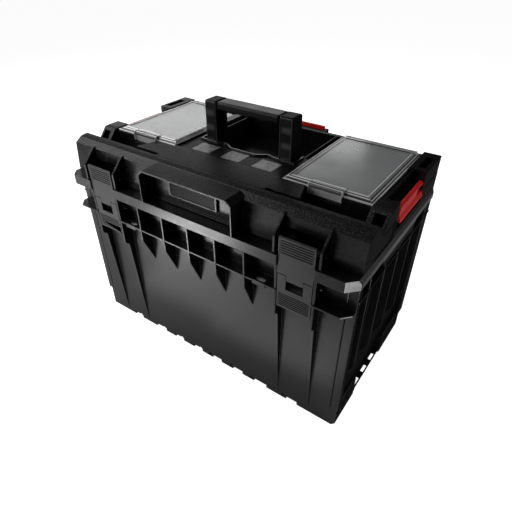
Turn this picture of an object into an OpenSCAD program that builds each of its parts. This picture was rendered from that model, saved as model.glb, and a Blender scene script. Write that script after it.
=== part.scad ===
// Stackable workshop toolbox with two lift-out bins under clear covers,
// a fold-down carry handle, two front latches and three stacking clips.
// Units are millimetres. Up is +Z, the front faces -Y, the base stands on z = 0.

/* [Body] */
// Overall width across the body flange
flange_w = 590; // [570:2:620]
// Depth of the body flange from front to back
flange_d = 350; // [344:2:372]
// Height of the body up to the top of the flange
body_h = 340; // [310:5:400]
// Thickness of the moulded walls
wall = 3.5; // [2.5:0.1:4.5]
// Height of the flange band at the front and back
band_h = 18.5; // [14:0.5:24]
// How far the front wall sits behind the flange
front_recess = 24; // [21:0.5:28]
// How far the back wall sits behind the flange
back_recess = 10; // [7:0.5:14]
// How far the side walls sit behind the flange
side_recess = 15; // [10:0.5:18]
// How far the foot skirt sits behind the flange at the sides
skirt_recess = 6; // [4:0.5:9]
// Height of the foot skirt
skirt_h = 46; // [36:1:56]
// Height from the flange top down to the front shelf
shelf_drop = 64; // [56:1:74]
// Number of front pockets on each side of the middle
pockets = 3; // [2:1:4]
// Thickness of the ribs and shelves
rib_t = 3; // [2:0.1:4]
// Height of the feet under the front edge
foot_h = 7; // [4:0.5:9]

/* [Lid] */
// Height of the closed lid above the flange
lid_h = 62; // [58:0.5:70]
// Height of the low deck above the flange
deck_h = 32; // [28:0.5:36]
// Gap between the lid and the flange
lid_gap = 0.8; // [0.5:0.1:1.2]
// How far the hood stands in front of the flange
hood_out = 1.8; // [1:0.1:4]
// Half the width of the front hood
hood_half = 95; // [85:1:105]
// How far the back of the lid sits behind the flange
lid_back_in = 19; // [18.5:0.5:21]

/* [Front latches] */
// Distance from the side of the flange to the middle of each latch
latch_in = 92.5; // [86:0.5:99]
// Width of each latch
latch_w = 59; // [50:1:64]
// Thickness of the latch plates
latch_t = 4; // [3:0.1:5]
// Radius of the latch pins
latch_pin_r = 2; // [1.5:0.1:2.5]

/* [Bins] */
// Width of the lid strip outside each bin
bin_side = 37.5; // [36.5:0.5:50]
// Wall thickness of the bins
bin_wall = 2; // [1.5:0.1:3]
// Side gap between a bin and its well
bin_gap = 0.8; // [0.4:0.1:1.2]

/* [Carry handle] */
// Half the width of the handle
handle_half = 91; // [84:0.5:92]
// Width of each handle post
post_w = 26; // [20:0.5:30]
// Thickness of the handle from front to back
handle_t = 33.5; // [26:0.5:34]
// Height of the handle above its pivot
handle_h = 90; // [80:1:94]
// Height of the handle bar
bar_h = 16; // [14:0.5:20]

/* [Stacking clips] */
// Length of each side clip
clip_l = 101; // [90:1:110]
// Length of the back clip
back_clip_l = 124; // [100:1:130]
// Height of the clips
clip_h = 29; // [24:0.5:32]
// Radius of the clip pins
clip_pin_r = 1.5; // [1.2:0.1:2]

/* [Hidden] */
$fn = 40;
eps = 0.02;
run = 0.05;

// Main planes
half_w = flange_w / 2;
wide = flange_w / 590;
deep = flange_d / 350;
front_y = (hood_out - flange_d) / 2;
back_y = front_y + flange_d;
panel_y = front_y + front_recess;
rear_y = back_y - back_recess;
side_x = half_w - side_recess;
skirt_x = half_w - skirt_recess;
inner_x = side_x - wall;
inner_front = panel_y + wall;
inner_back = rear_y - wall;
band_z = body_h - band_h;
shelf_z = body_h - shelf_drop;
rib_y = front_y + 0.5;
corner_x = 17;
corner_y = 18;
foot_in = 18;

// Planes on which the body is parted into solids
seam_top = band_z - 1.6;
seam_low = foot_h + 5.3;
seam_front = inner_front + 0.6;
seam_back = inner_back - 0.6;

// Bay ribs beside the latches, and the pockets between them
latch_x = half_w - latch_in;
bay_clear = 0.8;
bay_in = latch_x - latch_w / 2 - bay_clear;
bay_out = latch_x + latch_w / 2 + bay_clear;
bay_y = front_y + 2.6;
bay_mid_y = front_y + 10.6;
bay_step_z = shelf_z - 50;
bay_mid_z = bay_step_z - 7;
strike_y = front_y + 18;
strike_z = body_h - 44;
strike_out = 3;
rib_pitch = (bay_in - 1.2) / pockets;
side_rib_pitch = 60 * deep;
loop_x = bay_in - 0.544 * rib_pitch;
loop_y = front_y + 8;
slot_r = 3.6;

// Opening under the lid
mouth_front = front_y + 36;
mouth_back = back_y - lid_back_in - 10;
rail_x = side_x - 4;
rail_l = 126 * deep;
rail_slot = rail_l / 6;
rail_y0 = front_y + 107 * deep;
rail_y1 = rail_y0 + rail_l;

// Lid planes
lid_z = body_h + lid_gap;
lid_top = body_h + lid_h;
deck_z = body_h + deck_h;
lid_x = half_w - 2.5;
lid_front = front_y + 24.3;
lid_back = back_y - lid_back_in;
rim_lean = 4.7;
rim_edge_z = lid_top - 11;
peak_y = lid_front + 28.5;
peak_z = lid_top - 1.6;
ridge_back = lid_front + 56;
strip_x = half_w - 25;
strip_top = lid_top - 5;
block_x = half_w - 3;
block_in = half_w - 33;

// Bins and covers
well_half = handle_half + 7;
bin_x = well_half + 18.5;
bin_w = half_w - bin_side - bin_x;
bin_back = lid_back - 8.5;
bin_front = ridge_back + 30.2;
bin_l = bin_back - bin_front;
bin_end = 12;
bin_cell = (bin_l - bin_wall - bin_end) / 3;
bin_floor_z = lid_z + 4;
cover_z = lid_top - 3;
cover_top = cover_z + 5.4;
cover_hinge_y = bin_back - 3;
cover_hinge_z = cover_z + 2;
cover_pin_r = 1.2;
cover_knuckle_r = 2.9;
cover_cut_r = 3.6;
tab_half = bin_w / 5;
tab_x = bin_x + bin_w / 2;
bin_top = cover_z - 0.3;

// Handle and its well
pivot_y = front_y + 185 * deep;
pivot_z = lid_top - 22;
handle_pin_r = 4;
pivot_r = handle_t / 2;
well_floor = pivot_z - pivot_r - 4;
well_front = pivot_y - pivot_r - 2;
well_back = bin_back - 2;
panel_front = well_front - 57;
panel_top = lid_top - 5;
bar_z = pivot_z + handle_h;
grip_half = handle_half - post_w;
tile_pitch = well_half * 0.66;
tile_w = tile_pitch * 0.6;

// Latches
latch_y = front_y + 2.8;
lever_top = lid_top - 31;
lever_low = body_h - 41.4;
flap_low = body_h - 95;
flap_bar = body_h - 57.7;
arm_w = 15;
arm_top = body_h - 32.6;
flap_pin_y = latch_y + latch_t / 2;
flap_pin_r = latch_t * 0.3;
flap_pin_z = body_h - 37;
latch_axis_y = latch_y + 13;
latch_axis_z = body_h + 15;
barrel_r = 5.5;
niche_r = norm([13, lever_top - latch_axis_z]) + 0.6;
cheek_t = 3.5;
cheek_gap = 5;

// Lid hinge
hinge_y = back_y - 7.5;
hinge_z = body_h + 7;
hinge_r = 6;
hinge_pin_r = 2;
hinge_x = half_w - 105;
hinge_w = 50;
hinge_tongue = 19;

// Clips
clip_x = half_w - 10.7;
clip_t = 7;
side_clip_h = clip_h - 4.5;
clip_low = lid_top - 12.5 - side_clip_h;
clip_y = front_y + 193.6 * deep;
recess_y0 = clip_y - clip_l / 2 - 10.6;
recess_y1 = clip_y + clip_l / 2 + 8;
clip_axis_x = clip_x + clip_t / 2;
clip_axis_z = clip_low + 5;
back_clip_y = lid_back + 10.5;
back_clip_low = lid_top - clip_h;
back_axis_y = back_clip_y + clip_t / 2;
back_axis_z = back_clip_low + 5;

module box(x0, x1, y0, y1, z0, z1) {
    translate([x0, y0, z0])
        cube([x1 - x0, y1 - y0, z1 - z0]);
}

// Polygon of y and z points, drawn along X
module along_x(x0, x1, pts) {
    translate([x0, 0, 0])
        rotate([90, 0, 90])
            linear_extrude(x1 - x0)
                polygon(pts);
}

// Polygon of x and z points, drawn along Y
module along_y(y0, y1, pts) {
    translate([0, y1, 0])
        rotate([90, 0, 0])
            linear_extrude(y1 - y0)
                polygon(pts);
}

// Polygon of x and y points, drawn along Z
module along_z(z0, z1, pts) {
    translate([0, 0, z0])
        linear_extrude(z1 - z0)
            polygon(pts);
}

module rod_x(x0, x1, y, z, r) {
    translate([x0, y, z])
        rotate([0, 90, 0])
            cylinder(h = x1 - x0, r = r);
}

module rod_y(y0, y1, x, z, r) {
    translate([x, y1, z])
        rotate([90, 0, 0])
            cylinder(h = y1 - y0, r = r);
}

module both() {
    children();
    mirror([1, 0, 0])
        children();
}

// Rectangle with cut corners, as plan points
function cut_plan(x, y0, y1, cx, cy) = [
    [-x + cx, y0], [x - cx, y0], [x, y0 + cy], [x, y1 - cy],
    [x - cx, y1], [-x + cx, y1], [-x, y1 - cy], [-x, y0 + cy]];

// Body, one moulding: bucket, flange, ribs, shelves, feet and hinge knuckles
module body_bucket() {
    along_z(skirt_h - eps, body_h, cut_plan(side_x, panel_y, rear_y, 4, 4));
    along_z(0, skirt_h, cut_plan(skirt_x, panel_y, rear_y, 5, 5));
}

module flange_band() {
    difference() {
        intersection() {
            along_z(band_z, body_h, cut_plan(half_w, front_y, back_y, corner_x, corner_y));
            along_y(front_y - 1, back_y + 1, [[-half_w, band_z - 1], [half_w, band_z - 1],
                [half_w, body_h - 8], [half_w - 3.5, body_h], [3.5 - half_w, body_h],
                [-half_w, body_h - 8]]);
        }
        difference() {
            along_z(band_z - 1, body_h - wall,
                cut_plan(half_w - wall, front_y + wall, back_y - wall, corner_x - 1, corner_y - 1));
            box(-side_x + 1, side_x - 1, panel_y + 1, rear_y - 1, band_z - 2, body_h);
        }
    }
    both()
        along_x(half_w - wall, half_w, [[rail_y0 - 8, band_z + 1], [rail_y0 + 1, band_z - 15],
            [rail_y1 - 1, band_z - 15], [rail_y1 + 11, band_z + 1]]);
}

module front_shelf() {
    difference() {
        along_z(shelf_z - rib_t, shelf_z,
            cut_plan(half_w - 4, front_y + 1.2, front_y + 60, 13, 14));
        box(-half_w, half_w, panel_y + 1, front_y + 70, shelf_z - 10, shelf_z + 10);
    }
    both()
        box(side_x - 1, half_w - 4, panel_y, panel_y + 12, shelf_z - rib_t, shelf_z);
}

// The flange and the shelf stop at the two latch bays
module latch_bay() {
    box(bay_in, bay_out, front_y - 1, panel_y, shelf_z - rib_t - 1, body_h + 1);
}

// Two padlock loops in front of the shelf
module lock_loop() {
    along_z(shelf_z - 7, shelf_z + 1, [[loop_x - 15, front_y + 9], [loop_x - 12, front_y + 1],
        [loop_x + 12, front_y + 1], [loop_x + 15, front_y + 9], [loop_x + 13, front_y + 18],
        [loop_x - 13, front_y + 18]]);
}

module lock_slot() {
    box(loop_x - 5, loop_x + 5, loop_y - slot_r, loop_y + slot_r, shelf_z - 12, shelf_z + 6);
    for (s = [-5, 5])
        translate([loop_x + s, loop_y, shelf_z - 12])
            cylinder(h = 18, r = slot_r);
}

module front_rib(x) {
    along_x(x - rib_t / 2, x + rib_t / 2, [[rib_y, body_h - 2], [rib_y, shelf_z - 23],
        [panel_y - 1, shelf_z - 76], [panel_y + 1, shelf_z - 76], [panel_y + 1, body_h - 2]]);
}

module bay_rib(x0, x1) {
    along_x(x0, x1, [[bay_y, body_h - 2], [bay_y, bay_step_z], [bay_mid_y, bay_mid_z],
        [panel_y, 2], [panel_y + 1, 2], [panel_y + 1, body_h - 2]]);
}

module side_rib(y) {
    along_y(y - rib_t / 2, y + rib_t / 2, [[half_w - 0.6, band_z + 2], [half_w - 0.6, 128],
        [side_x - 1, 96], [side_x - 2, 96], [side_x - 2, band_z + 2]]);
}

module side_shelf(y0, y1, z) {
    box(side_x - 1, half_w - 0.6, y0, y1, z - rib_t, z);
}

module foot_gaps(y0, y1) {
    both() {
        box(14 * wide, 36.6 * wide, y0, y1, -1, foot_h);
        box(66.1 * wide, 89 * wide, y0, y1, -1, foot_h);
        box(117 * wide, 145.9 * wide, y0, y1, -1, foot_h);
        box(190 * wide, 213 * wide, y0, y1, -1, foot_h);
    }
}

// Small blind pockets above the feet
module foot_marks() {
    for (x = [7, 60, 110, 182, -20, -72, -124, -197])
        box(x * wide - 1, x * wide + 4, panel_y - 1, panel_y + 1.5, foot_h - 3, foot_h + 4);
}

// Storage space: floor between the feet, foot, full width, and mouth
module body_hollow() {
    box(-rail_x + wall, rail_x - wall, panel_y + foot_in, rear_y - foot_in, wall, foot_h + wall + 1);
    box(-rail_x + wall, rail_x - wall, inner_front, inner_back, foot_h + wall, body_h - 9);
    box(-inner_x, inner_x, inner_front, inner_back, skirt_h + 4, body_h - 4);
    box(-inner_x, inner_x, mouth_front, mouth_back, body_h - 10, body_h + 1);
}

// Stacking rail: the skirt is cut back between the corner feet
module side_rail_cut() {
    box(rail_x, half_w, rail_y0, rail_y1, 9, skirt_h + 1);
    box(rail_x, half_w, rail_y0 + 10, rail_y1 - 2, -1, 5);
    box(skirt_x - 1.5, half_w, rail_y0, rail_y1, 0, 10);
    for (i = [0:2])
        translate([0, rail_y0 + rail_l / 9 + (rail_slot + 16 * deep) * i, 0])
            box(side_x - 1, skirt_x - 4, 0, rail_slot, -1, 12);
}

module skirt_panels() {
    box(skirt_x - 2, half_w, panel_y + 22, rail_y0 - 6, 10, skirt_h + 1);
    box(skirt_x - 2, half_w, rail_y1 + 6, rear_y - 16, 10, skirt_h + 1);
}

module body_knuckles() {
    both()
        for (s = [-1, 1])
            translate([hinge_x + s * (hinge_w + hinge_tongue + 0.6) / 4, 0, 0]) {
                kw = (hinge_w - hinge_tongue - 0.6) / 2;
                rod_x(-kw / 2, kw / 2, hinge_y, hinge_z, hinge_r);
                box(-kw / 2, kw / 2, hinge_y - hinge_r, hinge_y + hinge_r, body_h - 2, hinge_z);
            }
}

module whole_body() {
    difference() {
        union() {
            difference() {
                body_bucket();
                both() {
                    side_rail_cut();
                    skirt_panels();
                }
            }
            flange_band();
            front_shelf();
            both()
                lock_loop();
            for (i = [1 - pockets:pockets - 1])
                front_rib(i * rib_pitch);
            both() {
                bay_rib(bay_in - 4, bay_in);
                bay_rib(bay_out, bay_out + 4);
                for (i = [0:4])
                    side_rib(front_y + 58 * deep + side_rib_pitch * i);
                side_shelf(panel_y, rear_y - 5, body_h - 45);
                box(side_x - 2, half_w - 3, panel_y, panel_y + 12, skirt_h - 1, band_z + 1);
                box(side_x - 2, half_w - 3, rear_y - 26, rear_y, skirt_h - 1, band_z + 1);
            }
            for (i = [-3:3])
                translate([i * 80 * wide, 0, 0])
                    box(-rib_t / 2, rib_t / 2, rear_y - 1, back_y - 1, band_z - 60, body_h - 1);
            body_knuckles();
        }
        body_hollow();
        foot_gaps(panel_y - 3, panel_y + foot_in - wall);
        foot_gaps(rear_y - foot_in + wall, rear_y + 3);
        foot_marks();
        both() {
            latch_bay();
            lock_slot();
            rod_x(bay_in - 10, bay_out + 10, strike_y, strike_z, latch_pin_r + run);
            rod_x(hinge_x - hinge_w, hinge_x + hinge_w, hinge_y, hinge_z, hinge_pin_r + run);
        }
    }
}

// The one moulding is kept as nine solids that meet on planes off its own faces
module body_part(x0, x1, y0, y1, z0, z1) {
    color([0.05, 0.05, 0.055])
        intersection() {
            whole_body();
            box(x0, x1, y0, y1, z0, z1);
        }
}

module front_flange() {
    body_part(-half_w - 1, half_w + 1, front_y - 1, seam_front, seam_top, body_h + 30);
}

module back_flange() {
    body_part(-half_w - 1, half_w + 1, seam_back, back_y + 1, seam_top, body_h + 30);
}

module right_flange() {
    body_part(0, half_w + 1, seam_front, seam_back, seam_top, body_h + 30);
}

module left_flange() {
    mirror([1, 0, 0])
        right_flange();
}

module body_floor() {
    body_part(-half_w - 1, half_w + 1, front_y - 1, back_y + 1, -1, seam_low);
}

module body_front() {
    body_part(-half_w - 1, half_w + 1, front_y - 1, seam_front, seam_low, seam_top);
}

module body_back() {
    body_part(-half_w - 1, half_w + 1, seam_back, back_y + 1, seam_low, seam_top);
}

module right_body_side() {
    body_part(0, half_w + 1, seam_front, seam_back, seam_low, seam_top);
}

module left_body_side() {
    mirror([1, 0, 0])
        right_body_side();
}

module strike_pins() {
    color([0.75, 0.76, 0.78])
        both()
            rod_x(bay_in - 4 - strike_out, bay_out + 4 + strike_out, strike_y, strike_z, latch_pin_r);
}

module lid_hinge_pins() {
    color([0.75, 0.76, 0.78])
        both()
            rod_x(hinge_x - hinge_w / 2, hinge_x + hinge_w / 2, hinge_y, hinge_z, hinge_pin_r);
}

// Lid, one moulding: rim, deck, bin wells, handle well, hood and latch cheeks
module lid_mass() {
    along_x(-lid_x, lid_x, [[lid_front, lid_z], [lid_front + rim_lean, rim_edge_z - 0.5],
        [lid_front + 17.3, peak_z - 1.8], [peak_y - 2.7, peak_z], [peak_y + 4.8, peak_z],
        [ridge_back, deck_z], [lid_back, deck_z], [lid_back, lid_z]]);
    box(-strip_x, strip_x, bin_front - 6, lid_back, deck_z - 1, strip_top);
    along_z(deck_z - 1, peak_z - 0.4, [[-bin_x - 52, peak_y + 13], [bin_x + 52, peak_y + 13],
        [bin_x + 38, bin_front - 5], [-bin_x - 38, bin_front - 5]]);
    box(-bin_x + 5, bin_x - 5, peak_y + 2, panel_front, deck_z - 1, peak_z - 0.4);
    well_rim();
    both() {
        along_x(block_in, block_x, [[bin_front - 36, deck_z - 1], [bin_front - 28, lid_top - 20],
            [bin_front - 11, lid_top - 1], [bin_front - 2, lid_top], [recess_y0, lid_top],
            [recess_y0, deck_z - 1]]);
        box(block_in, block_x, recess_y1, lid_back, deck_z - 1, lid_top);
    }
}

// Raised lip along the front of the handle well
module well_rim() {
    difference() {
        along_z(panel_top - 2, peak_z - 0.4, [[-well_half - 3, well_front - 3], [-62, well_front - 3],
            [-50, well_front + 1], [-46, well_front + 1], [-27, well_front - 11],
            [27, well_front - 11], [46, well_front + 1], [50, well_front + 1],
            [62, well_front - 3], [well_half + 3, well_front - 3],
            [well_half + 3, well_front + 30], [-well_half - 3, well_front + 30]]);
        box(-well_half + 1, well_half - 1, well_front + 13, well_front + 40, panel_top - 3, lid_top);
    }
}

module lid_hood() {
    y1 = peak_y - 16.7;
    difference() {
        along_y(front_y - hood_out, y1, [[-hood_half, lid_z], [-hood_half, lid_top - 10],
            [-hood_half + 10, lid_top - 1.8], [hood_half - 10, lid_top - 1.8],
            [hood_half, lid_top - 10], [hood_half, lid_z]]);
        along_y(front_y - hood_out - 1, lid_front, [[-hood_half + 3, lid_z - 1],
            [-hood_half + 3, lid_top - 12], [-hood_half + 11, lid_top - 5],
            [hood_half - 11, lid_top - 5], [hood_half - 3, lid_top - 12], [hood_half - 3, lid_z - 1]]);
    }
    box(-hood_half + 1, hood_half - 1, lid_front - 3, lid_front + 1, lid_z, lid_z + 4);
}

module latch_cheek(x) {
    along_x(x, x + cheek_t, [[front_y + 2, lid_z], [front_y + 2, lid_top - 33],
        [lid_front + 2, lid_top - 9], [lid_front + 8, lid_top - 9], [lid_front + 8, lid_z]]);
}

module latch_niche() {
    x0 = bay_in - cheek_gap + 0.6;
    x1 = bay_out + cheek_gap - 0.6;
    difference() {
        rod_x(x0, x1, latch_axis_y, latch_axis_z, niche_r);
        box(x0 - 1, x1 + 1, lid_front, lid_front + 30, lid_z - 40, lid_z + 4);
    }
}

module bin_well() {
    box(bin_x - bin_gap, bin_x + bin_w + bin_gap, bin_front - bin_gap, bin_back + bin_gap,
        bin_floor_z, lid_top + 1);
    box(tab_x - tab_half - 1, tab_x + tab_half + 1, bin_front - 8, bin_front, cover_z - 14, lid_top + 1);
}

module lid_underside() {
    rim_in = lid_front + 16;
    along_x(-half_w + 20, half_w - 20, [[rim_in, lid_z - 1], [rim_in, rim_edge_z], [peak_y, peak_z - 4.5],
        [peak_y + 2.5, peak_z - 5], [ridge_back - 2.5, deck_z - 4], [bin_front - 9, deck_z - 4],
        [bin_front - 9, lid_z - 1]]);
    box(-bin_x - 8, bin_x + 8, peak_y + 4, bin_front - 9, lid_z - 1, peak_z - 4.4);
    box(-well_half, well_half, panel_front, well_front - 12, lid_z - 1, panel_top - 5);
    box(-well_half, well_half, well_front - 4, well_back, lid_z - 1, well_floor - 4);
    both() {
        box(bin_x + bin_w + 4, half_w - 20, rim_in, lid_back - 12, lid_z - 1, clip_low - 16);
        box(well_half + 4, bin_x - bin_gap - 4, bin_front + 4, pivot_y - 12, lid_z - 1, lid_top - 10);
        box(well_half + 4, bin_x - bin_gap - 4, pivot_y + 12, well_back, lid_z - 1, lid_top - 5);
        box(block_in + 4, block_x - 4, bin_front + 4, recess_y0 - 9, lid_z + 6, lid_top - 18);
        box(block_in + 4, block_x - 4, recess_y1 + 9, lid_back - 12, lid_z + 6, lid_top - 18);
    }
}

module handle_well() {
    along_z(well_floor, lid_top + 1, [[-well_half, well_front], [-60, well_front],
        [-49, well_front + 4], [-44, well_front + 4], [-25, well_front - 8], [25, well_front - 8],
        [44, well_front + 4], [49, well_front + 4], [60, well_front], [well_half, well_front],
        [well_half, well_back], [-well_half, well_back]]);
}

module clip_recess() {
    box(strip_x, half_w + 1, recess_y0, recess_y1, clip_low - 12, lid_top + 1);
}

module corner_sockets() {
    box(block_in + 11, block_x - 6, lid_back - 67, lid_back - 20, lid_top - 14, lid_top + 1);
    box(block_in + 9, block_x - 5, bin_front - 31, bin_front - 12, lid_top - 26, lid_top - 6);
    box(lid_x - 1.5, lid_x + 1, lid_front + 36, lid_front + 103, lid_z + 2, deck_z - 2);
}

module lid_knuckle() {
    w = hinge_tongue;
    translate([hinge_x - w / 2, 0, 0]) {
        rod_x(0, w, hinge_y, hinge_z, hinge_r);
        box(0, w, lid_back - 2, hinge_y, hinge_z - 4, hinge_z + hinge_r);
    }
}

module seal_ring(grow) {
    difference() {
        along_z(lid_z - 0.5 - grow, lid_z + 2 + grow, cut_plan(half_w - 8 + grow, lid_front + 4 - grow,
            lid_back - 3 + grow, 6, 6));
        along_z(lid_z - 2, lid_z + 4, cut_plan(half_w - 12 - grow, lid_front + 8 + grow,
            lid_back - 7 - grow, 5, 5));
    }
}

module back_clip_seat() {
    difference() {
        box(-back_clip_l / 2 - 8, back_clip_l / 2 + 8, lid_back - 1, back_clip_y + clip_t, back_clip_low - 4,
            strip_top);
        box(-back_clip_l / 2 - 1, back_clip_l / 2 + 1, lid_back + 4, back_clip_y + 20, back_clip_low - 11,
            lid_top + 1);
    }
}

module lid_shell() {
    color([0.06, 0.06, 0.065])
        difference() {
            union() {
                difference() {
                    union() {
                        lid_mass();
                        lid_hood();
                    }
                    both()
                        latch_niche();
                }
                both() {
                    latch_cheek(bay_in - cheek_gap - cheek_t);
                    latch_cheek(bay_out + cheek_gap);
                    lid_knuckle();
                }
                back_clip_seat();
            }
            lid_underside();
            handle_well();
            both() {
                bin_well();
                clip_recess();
                corner_sockets();
                rod_x(bay_in - cheek_gap - cheek_t - 4, bay_out + cheek_gap + cheek_t + 4,
                    latch_axis_y, latch_axis_z, latch_pin_r + run);
                rod_x(hinge_x - hinge_w, hinge_x + hinge_w, hinge_y, hinge_z, hinge_pin_r + run);
                rod_x(handle_half - 1, well_half + 8, pivot_y, pivot_z, handle_pin_r + run);
                rod_y(recess_y0 - 6, recess_y1 + 6, clip_axis_x, clip_axis_z, clip_pin_r + run);
            }
            rod_x(-back_clip_l / 2 - 6, back_clip_l / 2 + 6, back_axis_y, back_axis_z, clip_pin_r + run);
            seal_ring(0.05);
            for (i = [-1:1])
                tile_space(i, 0.2);
        }
}

module lid_seal() {
    color([0.12, 0.12, 0.12])
        seal_ring(0);
}

module sign_plate() {
    z0 = lid_top - 45;
    z1 = lid_top - 15;
    color([0.11, 0.11, 0.115])
        difference() {
            box(-50, 50, lid_front - 4, lid_front - eps, z0, z1);
            box(-46, 46, lid_front - 5, lid_front - 3, z0 + 3, z1 - 3);
        }
}

module tile_space(i, g) {
    x = i * tile_pitch;
    box(x - tile_w / 2 - g, x + tile_w / 2 + g, panel_front + 9 - g, panel_front + 43 + g,
        panel_top - 1 - g, panel_top + 0.4);
}

module panel_tiles() {
    color([0.16, 0.16, 0.165])
        for (i = [-1:1])
            tile_space(i, 0);
}

module latch_pins() {
    color([0.6, 0.6, 0.62])
        both()
            rod_x(bay_in - cheek_gap - cheek_t, bay_out + cheek_gap + cheek_t,
                latch_axis_y, latch_axis_z, latch_pin_r);
}

module handle_pins() {
    color([0.6, 0.6, 0.62])
        both()
            rod_x(handle_half - 10, well_half + 7, pivot_y, pivot_z, handle_pin_r);
}

module side_clip_pins() {
    color([0.6, 0.6, 0.62])
        both()
            rod_y(recess_y0 - 5, recess_y1 + 5, clip_axis_x, clip_axis_z, clip_pin_r);
}

module back_clip_pin() {
    color([0.6, 0.6, 0.62])
        rod_x(-back_clip_l / 2 - 5, back_clip_l / 2 + 5, back_axis_y, back_axis_z, clip_pin_r);
}

// Carry handle: posts and a core bar, with a soft grip round the core
module handle_frame() {
    y0 = pivot_y - handle_t / 2;
    y1 = pivot_y + handle_t / 2;
    color([0.05, 0.05, 0.055])
        difference() {
            union() {
                both() {
                    box(grip_half, handle_half, y0, y1, pivot_z, bar_z);
                    rod_x(grip_half, handle_half, pivot_y, pivot_z, pivot_r);
                }
                box(-grip_half - 1, grip_half + 1, y0 + 6, y1 - 6, bar_z - bar_h + 4, bar_z - 4);
            }
            both()
                rod_x(handle_half - 10 - run, handle_half + 1, pivot_y, pivot_z, handle_pin_r + run);
        }
}

module handle_grip() {
    y0 = pivot_y - handle_t / 2;
    y1 = pivot_y + handle_t / 2;
    wave = grip_half * 0.262;
    color([0.04, 0.04, 0.04])
        difference() {
            along_y(y0, y1, [[-grip_half, bar_z], [-grip_half, bar_z - bar_h],
                [-3 * wave, bar_z - bar_h + 1.5], [-2 * wave, bar_z - bar_h - 1],
                [-wave, bar_z - bar_h + 1.5], [0, bar_z - bar_h - 1], [wave, bar_z - bar_h + 1.5],
                [2 * wave, bar_z - bar_h - 1], [3 * wave, bar_z - bar_h + 1.5],
                [grip_half, bar_z - bar_h], [grip_half, bar_z]]);
            box(-grip_half - 2, grip_half + 2, y0 + 6, y1 - 6, bar_z - bar_h + 4, bar_z - 4);
        }
}

// Latch lever, drawn for the right-hand side
module latch_lever() {
    x0 = latch_x - latch_w / 2;
    x1 = latch_x + latch_w / 2;
    y1 = latch_y + latch_t;
    difference() {
        union() {
            along_x(x0, x1, [[latch_y, arm_top + 1.1], [latch_y, lever_top - 1.5],
                [latch_y + 1.5, lever_top], [y1, lever_top], [y1, latch_axis_z + 4],
                [latch_axis_y, latch_axis_z + 4], [latch_axis_y, latch_axis_z - 4],
                [y1, latch_axis_z - 9], [y1, arm_top + 1.1]]);
            rod_x(x0, x1, latch_axis_y, latch_axis_z, barrel_r);
            box(x0 + arm_w + 0.6, x1 - arm_w - 0.6, latch_y, y1, lever_low, arm_top + 2);
        }
        for (i = [0:5])
            box(x0 + 2, x1 - 2, latch_y - 1, latch_y + 0.7, lever_top - 6 - 4 * i, lever_top - 4.2 - 4 * i);
        rod_x(x0 - 1, x1 + 1, latch_axis_y, latch_axis_z, latch_pin_r + run);
        rod_x(x0 + 2, x1 - 2, flap_pin_y, flap_pin_z, flap_pin_r + run);
    }
}

// Latch flap, drawn for the right-hand side
module latch_flap() {
    x0 = latch_x - latch_w / 2 + 0.5;
    x1 = latch_x + latch_w / 2 - 0.5;
    y0 = latch_y + 0.1;
    y1 = latch_y + latch_t;
    difference() {
        union() {
            box(x0, x1, y0, y1, flap_low, flap_bar);
            box(x0, x0 + arm_w - 0.5, y0, y1, flap_low, arm_top);
            box(x1 - arm_w + 0.5, x1, y0, y1, flap_low, arm_top);
        }
        for (i = [0:6])
            box(x0 + 2, x1 - 2, y0 - 1, y0 + 0.7, flap_low + 4 + 3.6 * i, flap_low + 5.8 + 3.6 * i);
        rod_x(x0 + 1, x1 - 1, flap_pin_y, flap_pin_z, flap_pin_r + run);
    }
}

module flap_pin() {
    rod_x(latch_x - latch_w / 2 + 2.5, latch_x + latch_w / 2 - 2.5, flap_pin_y, flap_pin_z, flap_pin_r);
}

module right_latch_lever() {
    color([0.07, 0.07, 0.075])
        latch_lever();
}

module right_latch_flap() {
    color([0.07, 0.07, 0.075])
        latch_flap();
}

module right_flap_pin() {
    color([0.6, 0.6, 0.62])
        flap_pin();
}

module left_latch_lever() {
    mirror([1, 0, 0])
        right_latch_lever();
}

module left_latch_flap() {
    mirror([1, 0, 0])
        right_latch_flap();
}

module left_flap_pin() {
    mirror([1, 0, 0])
        right_flap_pin();
}

// Bin tray, drawn for the right-hand side
module bin_tray() {
    x0 = bin_x;
    x1 = bin_x + bin_w;
    difference() {
        box(x0, x1, bin_front, bin_back, bin_floor_z + 0.3, bin_top);
        box(x0 + bin_wall, x1 - bin_wall, bin_front + bin_wall, bin_back - bin_end, bin_floor_z + 2.3,
            bin_top + 1);
        rod_x(x0 - 1, x1 + 1, cover_hinge_y, cover_hinge_z, cover_cut_r);
    }
    for (x = [x0 + 4, x1 - 14])
        difference() {
            union() {
                rod_x(x, x + 10, cover_hinge_y, cover_hinge_z, cover_knuckle_r);
                box(x, x + 10, cover_hinge_y - cover_knuckle_r, cover_hinge_y + cover_knuckle_r,
                    bin_top - 6, cover_hinge_z);
            }
            rod_x(x - 1, x + 11, cover_hinge_y, cover_hinge_z, cover_pin_r + run);
        }
}

module bin_dividers() {
    for (i = [1, 2])
        translate([0, bin_front + i * bin_cell, 0])
            box(bin_x + bin_wall + 0.2, bin_x + bin_w - bin_wall - 0.2, -0.8, 0.8, bin_floor_z + 2.3,
                bin_top - 1.5);
}

module bin_pins() {
    for (x = [bin_x + 4, bin_x + bin_w - 26])
        rod_x(x, x + 22, cover_hinge_y, cover_hinge_z, cover_pin_r);
}

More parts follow.
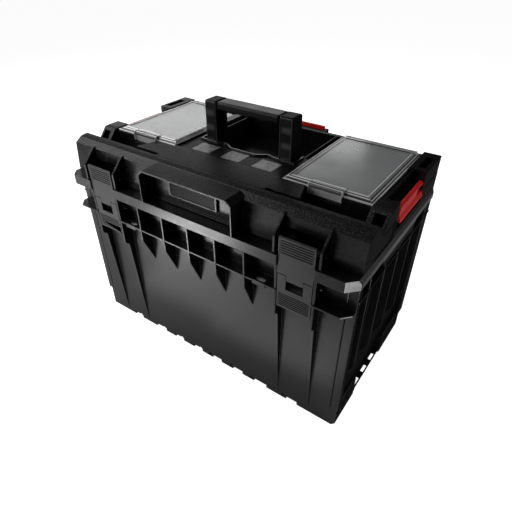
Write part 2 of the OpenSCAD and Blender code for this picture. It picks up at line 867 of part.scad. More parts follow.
// Clear cover: a foot over the strips, sloped sides, a thin window and a front tab
module cover_plate() {
    x0 = bin_x - 3.8;
    x1 = bin_x + bin_w + 3.5;
    y0 = bin_front - 3.4;
    y1 = cover_hinge_y - 5;
    box(x0, x1, y0, y1, strip_top + 0.3, cover_z + 1);
    intersection() {
        along_y(y0, y1, [[x0 + 1.8, cover_z + 0.9], [x0 + 6.8, cover_top], [x1 - 11, cover_top],
            [x1 - 1.5, cover_z + 0.9]]);
        along_x(x0, x1, [[y0 + 1.5, cover_z + 0.9], [y0 + 10, cover_top], [y1 - 2.4, cover_top],
            [y1 - 0.2, cover_z + 0.9]]);
    }
}

module bin_cover() {
    x0 = bin_x + 0.3;
    x1 = bin_x + bin_w - 0.3;
    difference() {
        union() {
            cover_plate();
            box(x0, x1, cover_hinge_y - 12, cover_hinge_y + 2, cover_z, cover_top - 1.4);
            box(tab_x - tab_half, tab_x + tab_half, bin_front - 6.5, bin_front + 12, cover_z,
                cover_top + 1.2);
            box(tab_x - tab_half, tab_x + tab_half, bin_front - 6.5, bin_front - 3, cover_z - 10, cover_top);
            rod_x(bin_x + 14.4, bin_x + bin_w - 14.4, cover_hinge_y, cover_hinge_z, cover_knuckle_r);
        }
        box(bin_x - 0.3, bin_x + bin_w + 0.3, bin_front - 0.4, cover_hinge_y + 3, strip_top, cover_z);
        box(x0 + 10, x1 - 10, bin_front + 14, cover_hinge_y - 14, cover_z - 1, cover_top - 3);
        box(x0 + 10, x1 - 10, bin_front + 14, cover_hinge_y - 14, cover_top - 0.9, cover_top + 5);
        for (i = [0:2])
            box(tab_x - tab_half + 2, tab_x + tab_half - 2, bin_front - 4 + 4 * i, bin_front - 2.4 + 4 * i,
                cover_top + 0.4, cover_top + 2);
        for (x = [bin_x + 4, bin_x + bin_w - 14])
            box(x - 0.3, x + 10.3, cover_hinge_y - 3.6, cover_hinge_y + 4, cover_z - 1, cover_top + 1);
        box(bin_x - 1, bin_x + 4, cover_hinge_y - 3.6, cover_hinge_y + 4, cover_z - 1, cover_top + 1);
        box(bin_x + bin_w - 4, bin_x + bin_w + 1, cover_hinge_y - 3.6, cover_hinge_y + 4, cover_z - 1,
            cover_top + 1);
        rod_x(x0, x1, cover_hinge_y, cover_hinge_z, cover_pin_r + run);
    }
}

module right_bin_tray() {
    color([0.28, 0.28, 0.29])
        bin_tray();
}

module right_bin_dividers() {
    color([0.35, 0.35, 0.36])
        bin_dividers();
}

module right_bin_pins() {
    color([0.6, 0.6, 0.62])
        bin_pins();
}

module right_bin_cover() {
    color([0.75, 0.77, 0.78, 0.45])
        bin_cover();
}

module left_bin_tray() {
    mirror([1, 0, 0])
        right_bin_tray();
}

module left_bin_dividers() {
    mirror([1, 0, 0])
        right_bin_dividers();
}

module left_bin_pins() {
    mirror([1, 0, 0])
        right_bin_pins();
}

module left_bin_cover() {
    mirror([1, 0, 0])
        right_bin_cover();
}

// Stacking clip on the right-hand side
module right_side_clip() {
    y0 = clip_y - clip_l / 2;
    y1 = clip_y + clip_l / 2;
    x1 = clip_x + clip_t;
    color([0.75, 0.05, 0.04])
        difference() {
            along_y(y0, y1, [[clip_x, clip_low], [x1 + 3, clip_low - 2], [x1 + 3, clip_low + 2],
                [x1, clip_low + 9], [x1, clip_low + side_clip_h - 2], [x1 - 2, clip_low + side_clip_h],
                [clip_x, clip_low + side_clip_h]]);
            rod_y(y0 - 1, y1 + 1, clip_axis_x, clip_axis_z, clip_pin_r + run);
            box(x1 - 5, x1 + 4, y1 - 25, y1 + 1, clip_low + 8, clip_low + side_clip_h - 5);
        }
}

module left_side_clip() {
    mirror([1, 0, 0])
        right_side_clip();
}

module back_clip() {
    x1 = back_clip_l / 2;
    y1 = back_clip_y + clip_t;
    color([0.75, 0.05, 0.04])
        difference() {
            along_x(-x1, x1, [[back_clip_y, back_clip_low], [y1, back_clip_low - 2],
                [y1, back_clip_low + clip_h - 2], [y1 - 1.5, back_clip_low + clip_h],
                [back_clip_y, back_clip_low + clip_h]]);
            rod_x(-x1 - 1, x1 + 1, back_axis_y, back_axis_z, clip_pin_r + run);
        }
}

front_flange();
back_flange();
left_flange();
right_flange();
body_front();
body_back();
body_floor();
left_body_side();
right_body_side();
strike_pins();
lid_hinge_pins();
lid_shell();
lid_seal();
sign_plate();
panel_tiles();
latch_pins();
handle_pins();
side_clip_pins();
back_clip_pin();
handle_frame();
handle_grip();
left_latch_lever();
left_flap_pin();
left_latch_flap();
right_latch_lever();
right_flap_pin();
right_latch_flap();
left_bin_tray();
left_bin_dividers();
left_bin_pins();
left_bin_cover();
right_bin_tray();
right_bin_dividers();
right_bin_pins();
right_bin_cover();
left_side_clip();
right_side_clip();
back_clip();
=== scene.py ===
import math

import bpy
from mathutils import Matrix, Vector


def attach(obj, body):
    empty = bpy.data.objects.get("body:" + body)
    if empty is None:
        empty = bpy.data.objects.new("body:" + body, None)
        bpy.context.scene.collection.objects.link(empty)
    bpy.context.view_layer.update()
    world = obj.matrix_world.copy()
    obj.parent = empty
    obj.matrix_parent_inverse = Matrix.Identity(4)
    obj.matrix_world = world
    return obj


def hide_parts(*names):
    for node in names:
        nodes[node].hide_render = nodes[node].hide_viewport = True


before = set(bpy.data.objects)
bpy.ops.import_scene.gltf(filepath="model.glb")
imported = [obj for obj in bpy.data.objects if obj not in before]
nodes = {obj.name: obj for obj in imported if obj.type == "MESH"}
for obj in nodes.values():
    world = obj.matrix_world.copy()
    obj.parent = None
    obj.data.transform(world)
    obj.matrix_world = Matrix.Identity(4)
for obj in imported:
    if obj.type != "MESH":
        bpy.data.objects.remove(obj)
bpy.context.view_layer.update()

# Places on the toolbox, in metres in the shared frame
FLANGE_LOW_Z = 0.3195
GRAIN_FRONT_Y = (-0.066, -0.070)
GRAIN_Z = (0.374, 0.378)
PANEL_HALF_X = 0.1085
PANEL_FRONT_Y = -0.0630
WELL_FLOOR_Z = 0.350
PANEL_TOP_Z = 0.3974
# Spans across the carry handle where its posts get painted highlight lines and bands of painted
# reflection
POST_HIGHLIGHT_LINES_X = ((0.0884, 0.0900), (0.0664, 0.0672), (0.0634, 0.0641))
POST_FRONT_X = (0.068, 0.074)
LATCH_X = 0.2025
GRIP_HALF_X = 0.0255
# Grip lines of a latch: lowest and highest level, pitch, and level of the first groove
GRIP_ROWS = ((0.3445, 0.3675, 0.0040, 0.3450), (0.2485, 0.2725, 0.0036, 0.2490))
SIGN_HALF_X = 0.0458
SIGN_Z = (0.3602, 0.3838)
COVER_IN, COVER_OUT, COVER_FRONT, COVER_BACK = 0.1127, 0.2610, -0.0670, 0.1404
TAB_X, TAB_HALF, TAB_REACH, TAB_EDGE = 0.1870, 0.0282, 0.0095, 0.0014

# Bands of the covers' border, from the edge inwards in mm: 0 is painted shade, 1 a painted
# highlight and 0.5 clear
INNER_BANDS = ((0.0, 0.0), (1.2, 0.95), (6.8, 0.6), (7.4, 0.0), (9.4, 0.5))
OUTER_BANDS = ((0.0, 0.85), (1.8, 0.0), (3.8, 0.95), (5.4, 0.0),
               (7.6, 0.6), (9.6, 0.0), (10.6, 0.95), (12.6, 0.5))
FRONT_BANDS = ((0.0, 0.95), (1.6, 0.0), (5.6, 0.95), (7.4, 0.0), (9.0, 0.85), (12.5, 0.5))
BACK_BANDS = ((0.0, 0.6), (7.0, 0.0), (9.5, 0.5))
BAND_REACH = 0.016

# Ranges that the masks fade over
MIDDLE = (0.3, 0.7)            # the middle of a noise's values
FACING_UP = (0.5, 0.9)         # upward part of the surface's direction
FACING_ASIDE = (0.93, 0.985)   # sideways part of the surface's direction

# Colours, from the dark to the light end of the plastic's clouds
BLACK = ((0.004, 0.004, 0.0045), (0.010, 0.010, 0.0105))
# The latches' black is lighter than the body's; this lift is partly painted light, standing in
# for the light their tilted faces catch
LATCH_BLACK = ((0.016, 0.016, 0.0165), (0.030, 0.030, 0.0305))
HANDLE_BLACK = ((0.004, 0.004, 0.0045), (0.009, 0.009, 0.0095))
PLATE_BLACK = ((0.012, 0.012, 0.013), (0.024, 0.024, 0.025))
TILE_GREY = ((0.07, 0.07, 0.072), (0.20, 0.20, 0.203))
BIN_GREY = ((0.32, 0.32, 0.325), (0.40, 0.40, 0.405))
CLIP_RED = ((0.66, 0.008, 0.006), (0.78, 0.014, 0.011))
SEAL_BLACK = ((0.012, 0.012, 0.012), (0.022, 0.022, 0.022))
GRIP_BLACK = ((0.005, 0.005, 0.005), (0.012, 0.012, 0.0125))
STEEL_GREY = ((0.42, 0.43, 0.45), (0.72, 0.73, 0.75))
CLEAR_HAZE = ((0.47, 0.48, 0.485), (0.53, 0.54, 0.545))
# Painted shade and painted highlight colours of the covers' border bands
BAND_SHADE, BAND_HIGHLIGHT = (0.006, 0.006, 0.006), (0.86, 0.86, 0.87)
FLOOR_WHITE = ((0.86, 0.86, 0.86), (0.89, 0.89, 0.89))

# Stage and camera
FLOOR_HALF = 14.0
FLOOR_GLOW = 0.94
WORLD_LEVEL = 0.03
CARD_Z = 0.006
CAMERA_PLACE = (0.430, -0.5973, 0.699)
CAMERA_YAW, CAMERA_PITCH, CAMERA_ROLL = 34.63, 36.08, 0.22
SENSOR_MM = 36
FOCAL_PIXELS, PHOTO_PIXELS = 435.8, 512


class Shader:
    """Builds one node material around a Principled shader."""

    def __init__(self, name):
        self.mat = bpy.data.materials.new(name)
        self.mat.use_nodes = True
        self.tree = self.mat.node_tree
        self.tree.nodes.clear()
        self.out = self.add("ShaderNodeOutputMaterial")
        self.bsdf = self.add("ShaderNodeBsdfPrincipled")
        self.link(self.bsdf.outputs[0], self.out.inputs["Surface"])
        self.coords = self.add("ShaderNodeTexCoord")

    def add(self, kind, **settings):
        node = self.tree.nodes.new(kind)
        for key, value in settings.items():
            setattr(node, key, value)
        return node

    def link(self, output, socket):
        self.tree.links.new(output, socket)

    def put(self, socket, value):
        """Sets a number or a colour on a socket, or links an output to it."""
        if isinstance(value, (int, float)):
            socket.default_value = value
        elif isinstance(value, tuple):
            socket.default_value = (*value, 1)
        else:
            self.link(value, socket)

    def calc(self, operation, a, b=0.0):
        node = self.add("ShaderNodeMath", operation=operation)
        self.put(node.inputs[0], a)
        self.put(node.inputs[1], b)
        return node.outputs[0]

    def plus(self, a, b):
        return self.calc("ADD", a, b)

    def minus(self, a, b):
        return self.calc("SUBTRACT", a, b)

    def times(self, *factors):
        product = factors[0]
        for factor in factors[1:]:
            product = self.calc("MULTIPLY", product, factor)
        return product

    def most(self, a, b):
        return self.calc("MAXIMUM", a, b)

    def size(self, a):
        return self.calc("ABSOLUTE", a)

    def above(self, a, limit):
        return self.calc("GREATER_THAN", a, limit)

    def below(self, a, limit):
        return self.calc("LESS_THAN", a, limit)

    def between(self, a, low, high):
        return self.times(self.above(a, low), self.below(a, high))

    def coordinate(self, kind, axis):
        node = self.add("ShaderNodeSeparateXYZ")
        self.link(self.coords.outputs[kind], node.inputs[0])
        return node.outputs[axis]

    def place(self, axis):
        """One coordinate of the point that is shaded, in metres."""
        return self.coordinate("Object", axis)

    def facing(self, axis):
        """One part of the surface's direction there, from -1 to 1."""
        return self.coordinate("Normal", axis)

    def stretch(self, scale):
        node = self.add("ShaderNodeMapping")
        self.link(self.coords.outputs["Object"], node.inputs["Vector"])
        node.inputs["Scale"].default_value = scale
        return node.outputs[0]

    def noise(self, scale, detail, rough=0.55, vector=None):
        node = self.add("ShaderNodeTexNoise")
        node.inputs["Scale"].default_value = scale
        node.inputs["Detail"].default_value = detail
        node.inputs["Roughness"].default_value = rough
        self.link(vector or self.coords.outputs["Object"], node.inputs["Vector"])
        return node.outputs[0]

    def cells(self, scale, smoothness):
        node = self.add("ShaderNodeTexVoronoi", feature="SMOOTH_F1")
        node.inputs["Scale"].default_value = scale
        node.inputs["Smoothness"].default_value = smoothness
        self.link(self.coords.outputs["Object"], node.inputs["Vector"])
        return node.outputs["Distance"]

    def span(self, x, low, high, to_low=0.0, to_high=1.0):
        """Carries x from one range over to another and stops at its ends."""
        node = self.add("ShaderNodeMapRange", clamp=True)
        self.put(node.inputs["Value"], x)
        node.inputs["From Min"].default_value = low
        node.inputs["From Max"].default_value = high
        node.inputs["To Min"].default_value = to_low
        node.inputs["To Max"].default_value = to_high
        return node.outputs[0]

    def blend(self, factor, a, b):
        """Goes from colour a to colour b."""
        node = self.add("ShaderNodeMix", data_type="RGBA")
        self.put(node.inputs[0], factor)
        self.put(node.inputs[6], a)
        self.put(node.inputs[7], b)
        return node.outputs[2]

    def bump(self, height, strength, distance, base=None):
        node = self.add("ShaderNodeBump")
        node.inputs["Distance"].default_value = distance
        self.put(node.inputs["Strength"], strength)
        self.link(height, node.inputs["Height"])
        if base is not None:
            self.link(base, node.inputs["Normal"])
        return node.outputs[0]

    def surface(self, bsdf, colour, rough, normal, gloss=0.5):
        bsdf.inputs["Specular IOR Level"].default_value = gloss
        self.link(colour, bsdf.inputs["Base Color"])
        self.link(rough, bsdf.inputs["Roughness"])
        self.link(normal, bsdf.inputs["Normal"])


def brighter(colour, factor):
    return tuple(c * factor for c in colour)


def plastic(name, colours, rough, grain=0.12, gloss=0.5, coarse=None, painted_highlights=None,
            matte_and_shaded_sides=None, shine_above=None, dull_dark_zone=None):
    """Moulded plastic with fine grain, cloudy colour, dusty patches and rubbed edges.

    coarse masks a coarse grain, and marks adds painted highlight lines. matte_and_shaded_sides is
    the range of sideways direction over which a duller finish with painted shade, a darker
    colour, sets in, but not above the level shine_above. dull_dark_zone masks further places with
    that duller, darker finish.
    """
    dark, light = colours
    s = Shader(name)
    cloud = s.noise(scale=11, detail=4)
    dust = s.noise(scale=95, detail=6, rough=0.7)
    rub = s.noise(scale=30, detail=5, rough=0.65, vector=s.stretch((1.0, 1.0, 7.0)))

    tone = s.plus(s.times(cloud, 0.55), s.times(dust, 0.45))
    colour = s.blend(s.span(tone, 0.35, 0.68), dark, light)
    pointiness = s.add("ShaderNodeNewGeometry").outputs["Pointiness"]
    edge = s.times(s.span(pointiness, 0.52, 0.60), s.span(dust, 0.42, 0.62))
    worn = tuple(min(1.0, c * 1.9 + 0.012) for c in light)
    colour = s.blend(s.times(edge, 0.6), colour, worn)
    # Painted highlight lines, in a light colour
    if painted_highlights:
        colour = s.blend(s.times(painted_highlights(s), 0.8), colour, brighter(light, 12.0))

    rough_map = s.plus(s.span(dust, *MIDDLE, rough - 0.025, rough + 0.035),
                       s.span(rub, 0.45, 0.75, 0.0, 0.05))
    normal = s.bump(s.noise(scale=1500, detail=2), strength=grain, distance=0.00025)
    if coarse:
        mask = coarse(s)
        rough_map = s.plus(rough_map, s.times(mask, 0.10))
        pores = s.cells(scale=430, smoothness=0.6)
        normal = s.bump(pores, s.times(mask, 0.4), distance=0.0009, base=normal)
        flecks = s.span(s.noise(scale=620, detail=3, rough=0.7), 0.5, 0.62)
        colour = s.blend(s.times(flecks, mask, 0.8), colour, brighter(light, 14.0))
    s.surface(s.bsdf, colour, rough_map, normal, gloss)

    # The duller finish also darkens the colour, which is painted shade on the sideways faces
    if matte_and_shaded_sides:
        matte = s.span(s.size(s.facing("X")), *matte_and_shaded_sides)
        if shine_above:
            matte = s.times(matte, s.below(s.place("Z"), shine_above))
        if dull_dark_zone:
            matte = s.most(matte, dull_dark_zone(s))
        dull = s.add("ShaderNodeBsdfPrincipled")
        darker_colour = s.blend(0.75, colour, brighter(dark, 0.3))
        s.surface(dull, darker_colour, s.plus(rough_map, 0.3), normal, gloss=0.05)
        mix = s.add("ShaderNodeMixShader")
        s.link(matte, mix.inputs[0])
        s.link(s.bsdf.outputs[0], mix.inputs[1])
        s.link(dull.outputs[0], mix.inputs[2])
        s.link(mix.outputs[0], s.out.inputs["Surface"])
    return s.mat


def rim_mask(s):
    """Coarse grain on the lid's leaning rim, ridge and hood top, and none on its walls."""
    up = s.span(s.facing("Z"), 0.45, 0.6)
    front = s.span(s.place("Y"), *GRAIN_FRONT_Y)
    return s.times(up, front, s.span(s.place("Z"), *GRAIN_Z))


def painted_well_and_top_shade(s):
    """Painted shade, with a duller finish, on the panel and well at the carry handle and, in
    part, on what faces up.
    """
    z = s.place("Z")
    inside = s.times(s.below(s.size(s.place("X")), PANEL_HALF_X),
                     s.above(s.place("Y"), PANEL_FRONT_Y))
    panel = s.times(inside, s.between(z, WELL_FLOOR_Z, PANEL_TOP_Z), 0.88)
    lip = s.times(inside, s.above(z, PANEL_TOP_Z))
    top = s.times(s.span(s.facing("Z"), *FACING_UP, 0.0, 0.75), s.minus(1.0, lip))
    return s.most(panel, top)


def painted_handle_top_shade(s):
    """Painted shade and less shine on the top of the carry handle."""
    return s.span(s.facing("Z"), *FACING_UP, 0.0, 0.92)


def painted_handle_highlights(s):
    """Painted highlight lines along the posts' edges and seams, and soft bands of painted
    reflection down their fronts.
    """
    across = s.size(s.place("X"))
    lines = 0.0
    for low, high in POST_HIGHLIGHT_LINES_X:
        lines = s.most(lines, s.between(across, low, high))
    # Bands of painted reflection down the posts' fronts
    waves_per_metre = 1 / 0.026
    wave = s.calc("SINE", s.times(s.place("Z"), 2 * math.pi * waves_per_metre))
    painted_shine = s.times(s.span(wave, -0.2, 1.0, 0.0, 0.9), s.span(across, *POST_FRONT_X))
    front = s.span(s.facing("Y"), -0.85, -0.6, 1.0, 0.0)
    return s.times(s.most(lines, painted_shine), front)


def painted_groove_shade(s):
    """Painted shade, with less shine, in the grooves between the grip lines of the latches'
    levers and flaps.
    """
    z = s.place("Z")
    zone = 0.0
    for low, high, pitch, first in GRIP_ROWS:
        step = s.calc("FRACT", s.calc("DIVIDE", s.minus(z, first), pitch))
        zone = s.most(zone, s.times(s.below(step, 0.5), s.between(z, low, high)))
    from_middle = s.size(s.minus(s.size(s.place("X")), LATCH_X))
    return s.times(zone, s.below(from_middle, GRIP_HALF_X))


def sign_field(s):
    """The bare field inside the sign plate's frame."""
    across = s.below(s.size(s.place("X")), SIGN_HALF_X)
    return s.times(across, s.between(s.place("Z"), *SIGN_Z), 0.85)


def steel(name):
    """Drawn steel with fine lines along the pin."""
    s = Shader(name)
    lines = s.noise(scale=60, detail=4, rough=0.6, vector=s.stretch((0.4, 14.0, 14.0)))
    s.surface(s.bsdf, s.blend(s.span(lines, *MIDDLE), *STEEL_GREY),
              s.span(lines, *MIDDLE, 0.18, 0.34),
              s.bump(lines, strength=0.2, distance=0.0001))
    s.bsdf.inputs["Metallic"].default_value = 1.0
    return s.mat


def rubber(name, colours, rough):
    """Soft rubber with a fine grain and little shine."""
    s = Shader(name)
    cloud = s.noise(scale=24, detail=5, rough=0.6)
    s.surface(s.bsdf, s.blend(s.span(cloud, *MIDDLE), *colours),
              s.span(cloud, *MIDDLE, rough - 0.06, rough + 0.06),
              s.bump(s.noise(scale=900, detail=3), strength=0.2, distance=0.0003),
              gloss=0.25)
    return s.mat


def bands(s, inset, steps):
    """The level of a row of bands at an inset given in metres."""
    ramp = s.add("ShaderNodeValToRGB")
    s.link(s.calc("DIVIDE", inset, BAND_REACH), ramp.inputs[0])
    ramp.color_ramp.interpolation = "CONSTANT"
    stops = ramp.color_ramp.elements
    while len(stops) < len(steps):
        stops.new(0.9)
    for stop, (inset_mm, level) in zip(stops, steps):
        stop.position = inset_mm / 1000 / BAND_REACH
        stop.color = (level, level, level, 1)
    grey = s.add("ShaderNodeRGBToBW")
    s.link(ramp.outputs[0], grey.inputs[0])
    return grey.outputs[0]


def border_level(s, across, y):
    """The bands of whichever edge of the cover lies nearest."""
    sides = (
        (s.minus(across, COVER_IN), INNER_BANDS),
        (s.minus(COVER_OUT, across), OUTER_BANDS),
        (s.minus(y, COVER_FRONT), FRONT_BANDS),
        (s.minus(COVER_BACK, y), BACK_BANDS),
    )
    nearest = sides[0][0]
    for inset, _ in sides[1:]:
        nearest = s.calc("MINIMUM", nearest, inset)
    limit = s.plus(nearest, 0.00001)
    level = 0.0
    for inset, steps in sides:
        level = s.most(level, s.times(s.below(inset, limit), bands(s, inset, steps)))
    return level


def clear_plastic(name):
    """Clear cover with a slight haze, fine scratches, a border of painted highlight and painted
    shade bands, and painted highlights on the tab's edges.
    """
    s = Shader(name)
    across = s.size(s.place("X"))
    y = s.place("Y")

    ahead = s.minus(COVER_FRONT, y)
    on_tab = s.above(ahead, 0.0004)
    tab_side = s.above(s.size(s.minus(across, TAB_X)), TAB_HALF - TAB_EDGE)
    tab_lip = s.above(ahead, TAB_REACH - TAB_EDGE)
    tab_edge = s.most(tab_side, tab_lip)
    tab_clear = s.times(on_tab, s.minus(1.0, tab_edge))
    # The tab's edges get a painted highlight
    level = s.plus(s.times(border_level(s, across, y), s.minus(1.0, on_tab)),
                   s.times(s.span(tab_edge, 0.0, 1.0, 0.35, 0.95), on_tab))

    haze = s.noise(scale=40, detail=5, rough=0.6)
    colour = s.blend(s.span(haze, *MIDDLE), *CLEAR_HAZE)
    colour = s.blend(s.span(level, 0.0, 0.5), BAND_SHADE, colour)
    colour = s.blend(s.span(level, 0.5, 1.0), colour, BAND_HIGHLIGHT)
    rough_map = s.plus(s.span(haze, *MIDDLE, 0.17, 0.20),
                       s.span(level, 0.0, 0.3, 0.35, 0.0))
    scratch = s.noise(scale=260, detail=3, rough=0.6, vector=s.stretch((0.15, 1.0, 1.0)))
    normal = s.bump(scratch, strength=0.006, distance=0.0001)
    s.surface(s.bsdf, colour, rough_map, normal, gloss=1.0)

    off_clear = s.size(s.minus(level, 0.5))
    alpha = s.minus(s.span(off_clear, 0.0, 0.35, 0.5, 1.0), s.times(tab_clear, 0.4))
    s.link(alpha, s.bsdf.inputs["Alpha"])
    return s.mat


body_black = plastic("body_black", BLACK, rough=0.30, grain=0.07,
                     matte_and_shaded_sides=FACING_ASIDE, shine_above=FLANGE_LOW_Z)
lid_black = plastic("lid_black", BLACK, rough=0.27, grain=0.06, coarse=rim_mask,
                    matte_and_shaded_sides=(0.4, 0.65), dull_dark_zone=painted_well_and_top_shade)
latch_black = plastic("latch_black", LATCH_BLACK, rough=0.42, gloss=0.55,
                      matte_and_shaded_sides=FACING_ASIDE, dull_dark_zone=painted_groove_shade)
handle_black = plastic("handle_black", HANDLE_BLACK, rough=0.30, grain=0.10, gloss=0.35,
                       painted_highlights=painted_handle_highlights, matte_and_shaded_sides=(0.8, 0.95), dull_dark_zone=painted_handle_top_shade)
plate_black = plastic("plate_black", PLATE_BLACK, rough=0.30, grain=0.05,
                      matte_and_shaded_sides=FACING_ASIDE, dull_dark_zone=sign_field)
tile_grey = plastic("tile_grey", TILE_GREY, rough=0.45, grain=0.3)
bin_grey = plastic("bin_grey", BIN_GREY, rough=0.45)
clip_red = plastic("clip_red", CLIP_RED, rough=0.42, gloss=0.25)
seal_rubber = rubber("seal_rubber", SEAL_BLACK, rough=0.6)
grip_rubber = rubber("grip_rubber", GRIP_BLACK, rough=0.42)
pin_steel = steel("pin_steel")
cover_clear = clear_plastic("cover_clear")

BODY_PARTS = (
    "front_flange", "back_flange", "left_flange", "right_flange",
    "body_front", "body_back", "body_floor", "left_body_side", "right_body_side",
)
BODY_ROUNDING_MM = 0.6

# Material of each piece, and the width of its rounded edges in mm
LOOKS = {
    "lid_shell": (lid_black, 0.8),
    "sign_plate": (plate_black, 0.5),
    "panel_tiles": (tile_grey, 0.3),
    "lid_seal": (seal_rubber, 0.3),
    "handle_frame": (handle_black, 3.5),
    "handle_grip": (grip_rubber, 4.5),
    "back_clip": (clip_red, 0.9),
    "strike_pins": (pin_steel, 0.3),
    "lid_hinge_pins": (pin_steel, 0.3),
    "latch_pins": (pin_steel, 0.3),
    "handle_pins": (pin_steel, 0.4),
    "side_clip_pins": (pin_steel, 0.2),
    "back_clip_pin": (pin_steel, 0.2),
}
for part in BODY_PARTS:
    LOOKS[part] = (body_black, BODY_ROUNDING_MM)
for side in ("left", "right"):
    LOOKS[side + "_latch_lever"] = (latch_black, 0.35)
    LOOKS[side + "_latch_flap"] = (latch_black, 0.35)
    LOOKS[side + "_flap_pin"] = (pin_steel, 0.1)
    LOOKS[side + "_bin_tray"] = (bin_grey, 0.5)
    LOOKS[side + "_bin_dividers"] = (bin_grey, 0.3)
    LOOKS[side + "_bin_pins"] = (pin_steel, 0.1)
    LOOKS[side + "_bin_cover"] = (cover_clear, 0.5)
    LOOKS[side + "_side_clip"] = (clip_red, 0.9)


def add_object(name, data):
    obj = bpy.data.objects.new(name, data)
    bpy.context.scene.collection.objects.link(obj)
    return obj


def round_edges(obj, width_mm, flatten=True):
    """Rounds the edges of an imported mesh, and first joins its level faces if asked to."""
    weld = obj.modifiers.new("weld", "WELD")
    weld.merge_threshold = 0.00001
    if flatten:
        flat = obj.modifiers.new("flat", "DECIMATE")
        flat.decimate_type = "DISSOLVE"
        flat.angle_limit = math.radians(0.6)
    bevel = obj.modifiers.new("bevel", "BEVEL")
    bevel.width = width_mm / 1000
    bevel.segments = 2
    bevel.limit_method = "ANGLE"
    bevel.angle_limit = math.radians(32)
    bevel.use_clamp_overlap = False
    bevel.harden_normals = True


def whole_body():
    """Joins the body's solids into the one moulding that they stand for."""
    pieces = []
    for part in BODY_PARTS:
        mesh = nodes[part].data.copy()
        mesh.transform(nodes[part].matrix_world)
        pieces.append(add_object("joining_" + part, mesh))
    for piece in pieces[1:]:
        join = pieces[0].modifiers.new("join", "BOOLEAN")
        join.operation = "UNION"
        join.solver = "EXACT"
        join.object = piece
    graph = bpy.context.evaluated_depsgraph_get()
    mesh = bpy.data.meshes.new_from_object(pieces[0].evaluated_get(graph))
    mesh.name = "body_moulding"
    for piece in pieces:
        bpy.data.objects.remove(piece)
    obj = add_object("body_moulding", mesh)
    mesh.materials.clear()
    mesh.materials.append(body_black)
    round_edges(obj, BODY_ROUNDING_MM, flatten=False)
    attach(obj, "body")
    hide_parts(*BODY_PARTS)


def stage_floor():
    """A wide pale floor that shows as white to the camera."""
    mesh = bpy.data.meshes.new("floor")
    r = FLOOR_HALF
    mesh.from_pydata([(-r, -r, 0), (r, -r, 0), (r, r, 0), (-r, r, 0)], [], [(0, 1, 2, 3)])
    obj = add_object("floor", mesh)
    s = Shader("floor_white")
    s.bsdf.inputs["Roughness"].default_value = 0.9
    s.bsdf.inputs["Specular IOR Level"].default_value = 0.1
    s.link(s.blend(s.noise(scale=3, detail=2), *FLOOR_WHITE), s.bsdf.inputs["Base Color"])
    seen = s.add("ShaderNodeLightPath").outputs["Is Camera Ray"]
    s.bsdf.inputs["Emission Color"].default_value = (1, 1, 1, 1)
    s.link(s.times(seen, FLOOR_GLOW), s.bsdf.inputs["Emission Strength"])
    mesh.materials.append(s.mat)


def area_light(name, place, target, size, power, size_y=None):
    light = bpy.data.lights.new(name, "AREA")
    light.shape = "RECTANGLE"
    light.size = size
    light.size_y = size_y or size
    light.energy = power
    obj = add_object(name, light)
    obj.location = place
    obj.rotation_mode = "QUATERNION"
    obj.rotation_quaternion = (Vector(target) - Vector(place)).to_track_quat("-Z", "Y")
    obj.visible_camera = False


def floor_card(name, place, size, power):
    """A soft area light that lies on the floor and faces up, hidden from the camera."""
    area_light(name, (*place, CARD_Z), (*place, 1.0), size[0], power, size_y=size[1])


def world_light(strength):
    """White where the camera sees it, and a plain soft fill for everything else."""
    world = bpy.data.worlds.new("studio")
    bpy.context.scene.world = world
    world.use_nodes = True
    tree = world.node_tree
    background = tree.nodes["Background"]
    background.inputs["Color"].default_value = (1, 1, 1, 1)
    path = tree.nodes.new("ShaderNodeLightPath")
    level = tree.nodes.new("ShaderNodeMapRange")
    level.inputs["To Min"].default_value = strength
    level.inputs["To Max"].default_value = 1.0
    tree.links.new(path.outputs["Is Camera Ray"], level.inputs["Value"])
    tree.links.new(level.outputs[0], background.inputs["Strength"])


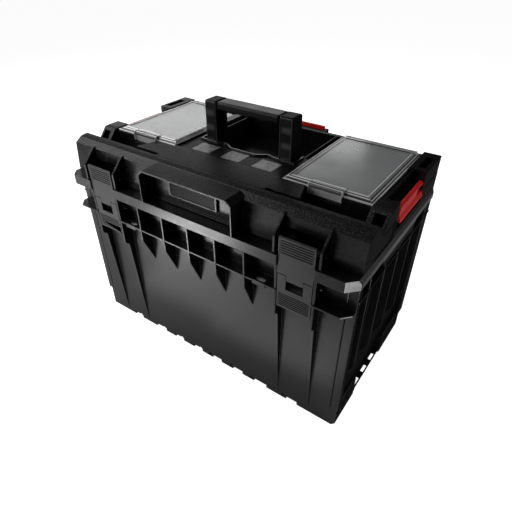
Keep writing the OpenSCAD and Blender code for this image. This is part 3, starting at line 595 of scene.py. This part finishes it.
def photo_camera():
    """The camera that was fitted to the photo's outline."""
    yaw, pitch, roll = (math.radians(a) for a in (CAMERA_YAW, CAMERA_PITCH, CAMERA_ROLL))
    ahead = Vector((-math.sin(yaw) * math.cos(pitch), math.cos(yaw) * math.cos(pitch),
                    -math.sin(pitch)))
    level_right = Vector((math.cos(yaw), math.sin(yaw), 0))
    level_up = level_right.cross(ahead)
    right = level_right * math.cos(roll) + level_up * math.sin(roll)
    up = level_up * math.cos(roll) - level_right * math.sin(roll)
    data = bpy.data.cameras.new("photo_camera")
    data.sensor_width = SENSOR_MM
    data.lens = FOCAL_PIXELS / PHOTO_PIXELS * SENSOR_MM
    data.clip_start = 0.02
    camera = add_object("photo_camera", data)
    axes = Matrix((right, up, -ahead)).transposed()
    camera.matrix_world = Matrix.Translation(CAMERA_PLACE) @ axes.to_4x4()
    bpy.context.scene.camera = camera


for name, obj in nodes.items():
    look, width_mm = LOOKS[name]
    obj.data.materials.clear()
    obj.data.materials.append(look)
    # Flattened and then rounded, the lid's mesh touches the opened latches.
    round_edges(obj, width_mm, flatten=name != "lid_shell")
whole_body()

stage_floor()
world_light(WORLD_LEVEL)
area_light("key", (-1.4, -0.3, 1.6), target=(-0.1, 0.0, 0.35), size=0.8, power=15)
area_light("fill", (-0.62, -0.98, 0.70), target=(-0.16, -0.36, 0.0), size=0.5, power=3.5)
area_light("back", (-0.95, 1.12, 0.90), target=(0, 0.04, 0.4), size=1.5, power=4.6, size_y=0.35)
area_light("right", (1.5, 0.6, 0.9), target=(0.29, 0, 0.35), size=0.5, power=4.5)
floor_card("far_card", (-0.84, -0.76), size=(0.30, 0.24), power=1.2)
floor_card("band_card", (-0.34, -0.53), size=(0.26, 0.14), power=2.0)
floor_card("left_card", (-0.16, -0.38), size=(0.28, 0.28), power=0.24)
floor_card("right_card", (0.10, -0.30), size=(0.30, 0.16), power=0.12)
area_light("facet_card", (0.62, -0.275, 0.06), target=(0.287, -0.165, 0.33), size=0.14, power=0.6)
photo_camera()
bpy.context.scene.view_settings.view_transform = "Standard"
